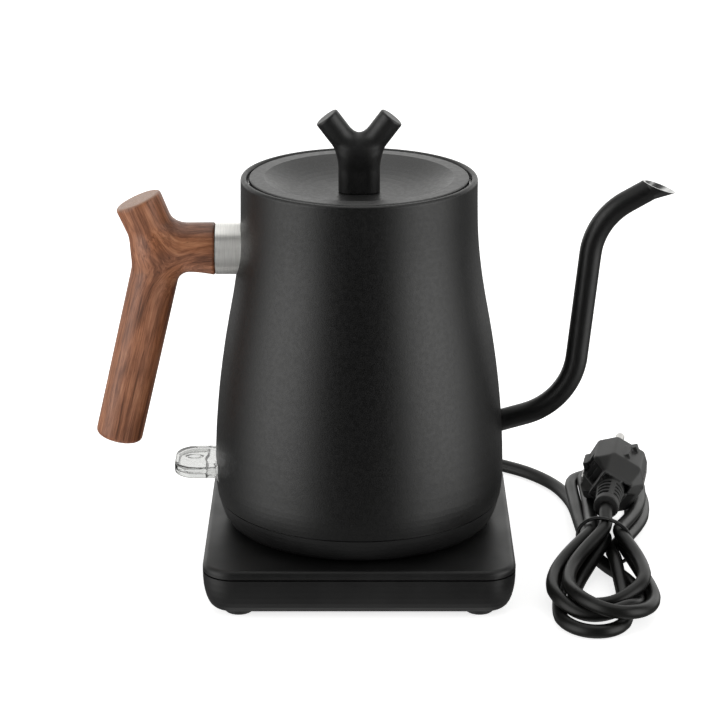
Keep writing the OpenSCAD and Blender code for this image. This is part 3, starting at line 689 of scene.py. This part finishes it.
def plug_head(x, rear, z, upright):
    """Distance to the head and the lip behind it; upright is the height before the head's roll."""
    diamond = 0.674 * np.abs(x) + 0.738 * np.abs(z)
    head = np.maximum(rear - HEAD_LEN, -rear)
    for across, up, far in HEAD_SIDES:
        head = cut(head, across * np.abs(x) + up * np.abs(z) - far, 0.9)
    for across, up, back, far in HEAD_FACETS:
        head = cut(head, across * np.abs(x) + up * np.abs(z) - back * rear - far, 0.5)
    head = cut(head, 7 * np.clip((-1 - upright) / 4, 0, 1) - rear, 0.5)
    head = cut(head, np.minimum(HOLLOW_R - diamond, HOLLOW_DEPTH - rear), 0.3)
    lip = np.maximum.reduce([diamond - LIP_R[1], LIP_R[0] - diamond, np.abs(rear) - LIP_HALF])
    rib = np.clip(1.2 * np.cos(2 * math.pi * rear / RIB_PITCH), 0, 1)
    slant = 0.733 * z + 0.68 * x
    floor = RIB_H * rib - POCKET_DEPTH - head
    pocket = np.maximum.reduce([floor, np.abs(slant - 1.8) - 5.2, np.abs(rear - 9) - 7, x, -z])
    head = cut(head, -pocket, 0.4)
    centred = np.stack([x, rear, z], axis=1)
    for centre, half, fillet in HEAD_BLOCKS:
        head = melt(head, box(centred, centre, half), fillet)
    return head, lip


def plug_distance(points):
    """Distance to the plug in its own frame: x to its right, y along it, z up."""
    side, y, upright = points.T
    x = side * math.cos(PLUG_ROLL) + upright * math.sin(PLUG_ROLL)
    z = upright * math.cos(PLUG_ROLL) - side * math.sin(PLUG_ROLL)
    neck = plug_neck(y, np.hypot(x, z), np.degrees(np.arctan2(x, z)))
    head, lip = plug_head(x, y - NECK_LEN, z, upright)
    long_half = HEAD_LEN - 8
    slot = box(points, (0, NECK_LEN + HEAD_LEN, 0), (40, long_half, CLIP_SLOT_HALF))
    head = cut(head, -np.maximum(slot, HEAD_SIDE - CLIP_SLOT_DEPTH - np.abs(side)), 0.4)
    return melt(melt(neck, head, 1.0), lip, 0.5)


def netted(name, distance, low, high, cell, place):
    """A closed mesh of the surface where distance() is zero, one corner to each grid cell it cuts."""
    axes = [np.arange(a, b, cell) for a, b in zip(low, high)]
    grid = np.stack(np.meshgrid(*axes, indexing="ij"), axis=-1)
    value = distance(grid.reshape(-1, 3)).reshape(grid.shape[:3])
    total = np.zeros((*(n - 1 for n in value.shape), 4))
    around = []
    for k in range(3):
        first = np.delete(value, -1, axis=k)
        second = np.delete(value, 0, axis=k)
        crossed = (first < 0) != (second < 0)
        index = np.argwhere(crossed)
        part = first[crossed] / (first[crossed] - second[crossed])
        crossing = grid[tuple(index.T)] + part[:, None] * cell * np.eye(3)[k]
        sides = np.eye(3, dtype=int)[[j for j in range(3) if j != k]]
        corners = []
        for step in (0 * sides[0], sides[0], sides[0] + sides[1], sides[1]):
            corners.append(index - step)
            np.add.at(total, tuple(corners[-1].T), np.c_[crossing, np.ones(len(index))])
        around.append(np.stack(corners, axis=1))
    used = total[..., 3] > 0
    number = np.cumsum(used).reshape(used.shape) - 1
    points = total[used][:, :3] / total[used][:, 3:]
    faces = number[tuple(np.moveaxis(np.concatenate(around), 2, 0))]
    mesh = bpy.data.meshes.new(name)
    mesh.from_pydata((points * MM).tolist(), [], faces.tolist())
    metric = place.copy()
    metric.translation = metric.translation * MM
    mesh.transform(metric)
    made = bmesh.new()
    made.from_mesh(mesh)
    bmesh.ops.recalc_face_normals(made, faces=made.faces)
    made.to_mesh(mesh)
    made.free()
    return mesh


def make_cord():
    rubber = moulded("cord_rubber", (0.0042, 0.0042, 0.0038), 0.38, 0.0012, 0.00003, 0.32)
    plug_rubber = moulded("plug_rubber", (0.026, 0.026, 0.0255), 0.5)
    wire = moulded("tie_plastic", (0.01, 0.01, 0.01), 0.35)
    cord = curve_piece("mains_cord", cord_line(), CORD_D, 20)
    finished(cord, "base", rubber, "cord_black", "cord_lead", "cord_hank", "cord_tail")
    tie = curve_piece("tie", tie_line(), TIE_WIRE_D, 12)
    finished(tie, "base", wire, "tie_black", "cord_tie")
    place = (
        Matrix.Translation(PLUG_PLACE)
        @ Matrix.Rotation(PLUG_YAW, 4, "Z")
        @ Matrix.Rotation(PLUG_PITCH, 4, "X")
    )
    rough = netted("plug", plug_distance, (-22, -3, -21), (22, 55, 21), 0.6, place)
    plug = shaped("plug", rough, 0.45, plug_distance, place)
    finished(plug, "base", plug_rubber, "plug_black", "plug_body")


# ---------------------------------------------------------------- handle and knob

def bore(points, start, end, radius):
    """Distance to a round hole, less than zero inside it."""
    return rod(points, start, end, radius, radius, 0.01)


def handle_distance(points):
    along = np.clip((ARM_END[0] - points[:, 0]) / (ARM_END[0] - HANDLE_JOINT[0]), 0, 1)
    under = np.clip((HANDLE_JOINT[2] - points[:, 2]) / 12, 0, 1)
    arm = rod(points, HANDLE_JOINT, ARM_END, *ARM_R, 0.3)
    arm = arm + ARM_WAIST * under * np.sin(math.pi * along)
    stub = rod(points, HANDLE_JOINT, STUB_END, *STUB_R, 1.6)
    grip = rod(points, HANDLE_JOINT, GRIP_END, *GRIP_R, 2.6)
    whole = melt(melt(grip, stub, 7), arm, 5)
    return np.maximum(whole, -bore(points, STUD_END, ARM_END + [10, 0, 0], STUD_BORE_R))


def grain_run(points):
    """Along, across and depth coordinates of the wood, which follow each branch of the handle."""
    rows = []
    weights = []
    for end, sign in ((GRIP_END, 1), (STUB_END, -1), (ARM_END, 1)):
        axis = (end - HANDLE_JOINT) / np.linalg.norm(end - HANDLE_JOINT)
        across = np.array([axis[2], 0, -axis[0]]) * -sign
        offset = points - HANDLE_JOINT
        rows.append(np.stack([sign * offset @ axis, offset @ across, points[:, 1]], axis=1))
        weights.append(np.exp(-rod(points, HANDLE_JOINT, end, 11.5, 11.5, 1) / 3.2))
    weights = np.stack(weights)[:, :, None]
    return (np.stack(rows) * weights).sum(axis=0) / weights.sum(axis=0)


def make_handle():
    handle = shaped("handle", NODES["handle_grip"].data.copy(), 0.9, handle_distance)
    points = np.empty(len(handle.data.vertices) * 3, np.float32)
    handle.data.vertices.foreach_get("co", points)
    points = points.reshape(-1, 3) / MM
    grain = handle.data.attributes.new("grain", "FLOAT_VECTOR", "POINT")
    grain.data.foreach_set("vector", grain_run(points).astype(np.float32).ravel())
    axis = (STUB_END - HANDLE_JOINT) / np.linalg.norm(STUB_END - HANDLE_JOINT)
    top = np.clip(((points - STUB_END) @ axis + 0.7) / 0.6, 0, 1)
    end_grain = handle.data.attributes.new("end_grain", "FLOAT", "POINT")
    end_grain.data.foreach_set("value", (0.85 * top).astype(np.float32))
    finished(handle, "kettle", wood(), "walnut", "handle_grip")


def knob_distance(points):
    sides = []
    for side in (-1, 1):
        foot = np.array([side * STEM_HALF, 0, DISH_Z - 10])
        top = np.array([side * STEM_HALF, 0, DISH_Z + STEM_H - 1])
        stem = rod(points, top, foot, STEM_R, STEM_R, 0.1)
        start = np.array([side * 2.2, 0, DISH_Z + STEM_H])
        tip = start + PRONG_LEN * np.array([side * math.sin(PRONG_TILT), 0, math.cos(PRONG_TILT)])
        sides.append(melt(stem, rod(points, start, tip, STEM_R, STEM_R, 0.9), 5))
    rise = points[:, 2] - DISH_Z - STEM_H
    crotch = np.clip((rise + 1) / 5, 0, 1)
    foot = np.clip((-rise - 8) / 10, 0, 1)
    whole = melt(sides[0], sides[1], 2.5 + 5.5 * crotch + 3.5 * foot)
    whole = cut(whole, DISH_Z - points[:, 2], 0.6)
    low = np.array([0, 0, DISH_Z - 10])
    return np.maximum(whole, -bore(points, low + [0, 0, 19.5], low, SCREW_BORE_R))


def make_knob():
    knob = shaped("knob", NODES["lid_knob"].data.copy(), 0.5, knob_distance)
    look = powder_coat("knob_paint", (0.008, 0.008, 0.008), 0.42)
    finished(knob, "lid", look, "knob_paint", "lid_knob")


# ---------------------------------------------------------------- the switch's clear paddle

def paddle_distance(points):
    x, y, z = points.T
    across = np.abs(y)
    past_end = np.clip(PADDLE_END + PADDLE_CORNER - x, 0, None)
    past_side = np.clip(across - PADDLE_HALF + PADDLE_CORNER, 0, None)
    wide = np.hypot(past_end, past_side) - PADDLE_CORNER
    wide = cut(np.maximum(wide, x + 60), WALL_GAP_R - np.hypot(x, y), 1.0)
    tongue = np.maximum.reduce([across - TONGUE_HALF, TONGUE_FRONT - x, x - TONGUE_BACK])
    plan = melt(wide, tongue, 1.0)
    middle = (PADDLE_TOP + PADDLE_LOW) / 2
    step = np.where(x > -73, 1.0, 0.0)
    solid = cut(plan, np.abs(z - middle + step / 2) - (PADDLE_TOP - middle - step / 2), 1.3)
    arc = 13 - np.hypot(x + 66, y)
    recess = np.maximum.reduce([wide + PADDLE_WALL, z - PADDLE_LOW - RECESS_DEPTH, x - RECESS_BACK])
    solid = cut(solid, -cut(recess, arc, 0.6), 0.6)
    ring = np.abs(np.hypot((x + 85) / 1.5, y) - 2.6) - 0.35
    return cut(solid, -np.maximum(ring, PADDLE_TOP - 0.35 - z), 0.3)


def make_paddle():
    rough = netted("paddle", paddle_distance, (-98, -20, 49), (-66, 20, 61), 0.5, Matrix())
    paddle = shaped("paddle", rough, 0.4, paddle_distance)
    look = clear("clear_plastic", (0.53, 0.535, 0.525), 0.05)
    finished(paddle, "switch", look, "clear_plastic", "switch_paddle")


# ---------------------------------------------------------------- materials on the CAD nodes

def dress_nodes():
    black = powder_coat("black_paint", (0.0024, 0.0024, 0.0024), 0.4)
    # The lid has the same black paint as the body, made ten times lighter here: the extra lightness is
    # a painted highlight for the light that the lid's top catches from above.
    lid_black_painted_highlight = powder_coat("lid_paint", (0.024, 0.024, 0.024), 0.38, 0.1, 0.000015)
    plastic = moulded("base_plastic", (0.006, 0.006, 0.0061), 0.42, shine=0.4)
    inner_plastic = moulded("inner_plastic", (0.03, 0.03, 0.032), 0.5)
    rubber = moulded("black_rubber", (0.012, 0.012, 0.012), 0.6)
    zinc = metal("zinc", (0.6, 0.6, 0.61), 0.35)
    brass = metal("brass", (0.75, 0.55, 0.24), 0.3)
    nickel = metal("nickel", (0.6, 0.59, 0.575), 0.28, 0.003)
    steel = brushed("steel", (0.62, 0.62, 0.62), 0.3, "z")
    ferrule = brushed("ferrule_steel", (0.92, 0.91, 0.88), 0.42, "x", 0.85)
    aluminium = metal("aluminium", (0.72, 0.73, 0.74), 0.4, 0.004)
    sheath = metal("element_sheath", (0.3, 0.29, 0.28), 0.45)
    bimetal = metal("bimetal", (0.7, 0.6, 0.4), 0.3)
    wires = {
        "live_wire": moulded("wire_brown", (0.25, 0.12, 0.06), 0.4),
        "neutral_wire": moulded("wire_blue", (0.05, 0.15, 0.45), 0.4),
        "earth_wire": moulded("wire_green", (0.3, 0.5, 0.1), 0.4),
        "lamp_wires": moulded("wire_red", (0.5, 0.06, 0.04), 0.4),
    }
    looks = {
        black: ["kettle_shell", "spout"],
        lid_black_painted_highlight: ["lid_top"],
        plastic: ["base_bottom", "base_top", "base_socket", "bottom_cover"],
        inner_plastic: ["cord_grip", "control_unit", "switch_bracket", "switch_rocker"],
        rubber: ["base_feet", "strain_relief"],
        zinc: ["base_screws", "cord_grip_screws", "bottom_cover_screws", "handle_stud",
               "handle_nut", "lid_screw", "lid_washer", "switch_pivot_pin"],
        brass: ["base_socket_contacts", "earth_ring", "connector_pin", "neutral_ring"],
        nickel: ["plug_pins", "plug_earth_clips", "element_terminals"],
        steel: ["lid_seat_ring", "handle_bracket", "heating_plate", "steam_tube",
                "shell_brackets", "lid_cup"],
        ferrule: ["handle_ferrule"],
        aluminium: ["heat_spreader"],
        sheath: ["heating_element"],
        bimetal: ["overheat_discs", "steam_disc"],
        moulded("silicone", (0.08, 0.08, 0.085), 0.6): ["lid_seal"],
        clear("lamp_clear", (0.9, 0.93, 1.0), 0.05): ["switch_lamp"],
    }
    for look, names in looks.items():
        for name in names:
            NODES[name].data.materials.clear()
            NODES[name].data.materials.append(look)
    for name, look in wires.items():
        NODES[name].data.materials.clear()
        NODES[name].data.materials.append(look)
    paint_faces("kettle_shell", steel, bare_wall)
    paint_faces("spout", steel, bare_mouth)


def paint_faces(name, look, test):
    """Gives the faces that test() picks from their centres and normals their own material."""
    mesh = NODES[name].data
    mesh.materials.append(look)
    count = len(mesh.polygons)
    centres = np.empty(count * 3, np.float32)
    normals = np.empty(count * 3, np.float32)
    mesh.polygons.foreach_get("center", centres)
    mesh.polygons.foreach_get("normal", normals)
    picked = test(centres.reshape(-1, 3) / MM, normals.reshape(-1, 3))
    mesh.polygons.foreach_set("material_index", picked.astype(np.int32) * (len(mesh.materials) - 1))
    mesh.update()


def bare_wall(centres, normals):
    """The shell's inside below its rim, and the edge of the cut for the switch."""
    outwards = centres * [1, 1, 0]
    outwards = outwards / np.linalg.norm(outwards, axis=1)[:, None]
    facing = (outwards * normals).sum(axis=1)
    z = centres[:, 2]
    inside = (facing < -0.2) & (z < 203)
    in_window = (centres[:, 0] < -50) & (np.abs(centres[:, 1]) < WINDOW_HALF)
    edge = in_window & (np.abs(facing) < 0.3) & (z > WINDOW_Z[0]) & (z < WINDOW_Z[1])
    return inside | edge


def bare_mouth(centres, normals):
    """The spout's cut rim, and the inside of its tip."""
    upright = np.array([-math.sin(MOUTH_SLOPE), 0, math.cos(MOUTH_SLOPE)])
    rim = (np.abs((centres - MOUTH_POINT) @ upright) < 0.05) & (normals @ upright > 0.98)
    offset = centres - TIP_START
    outwards = offset - (offset @ TIP_AXIS)[:, None] * TIP_AXIS
    inside = (centres[:, 0] > 136) & ((outwards * normals).sum(axis=1) < 0)
    return rim | inside


make_camera()
make_cord()
make_world()
make_floor()
make_handle()
make_knob()
make_paddle()
dress_nodes()
SCENE.view_settings.view_transform = "Standard"
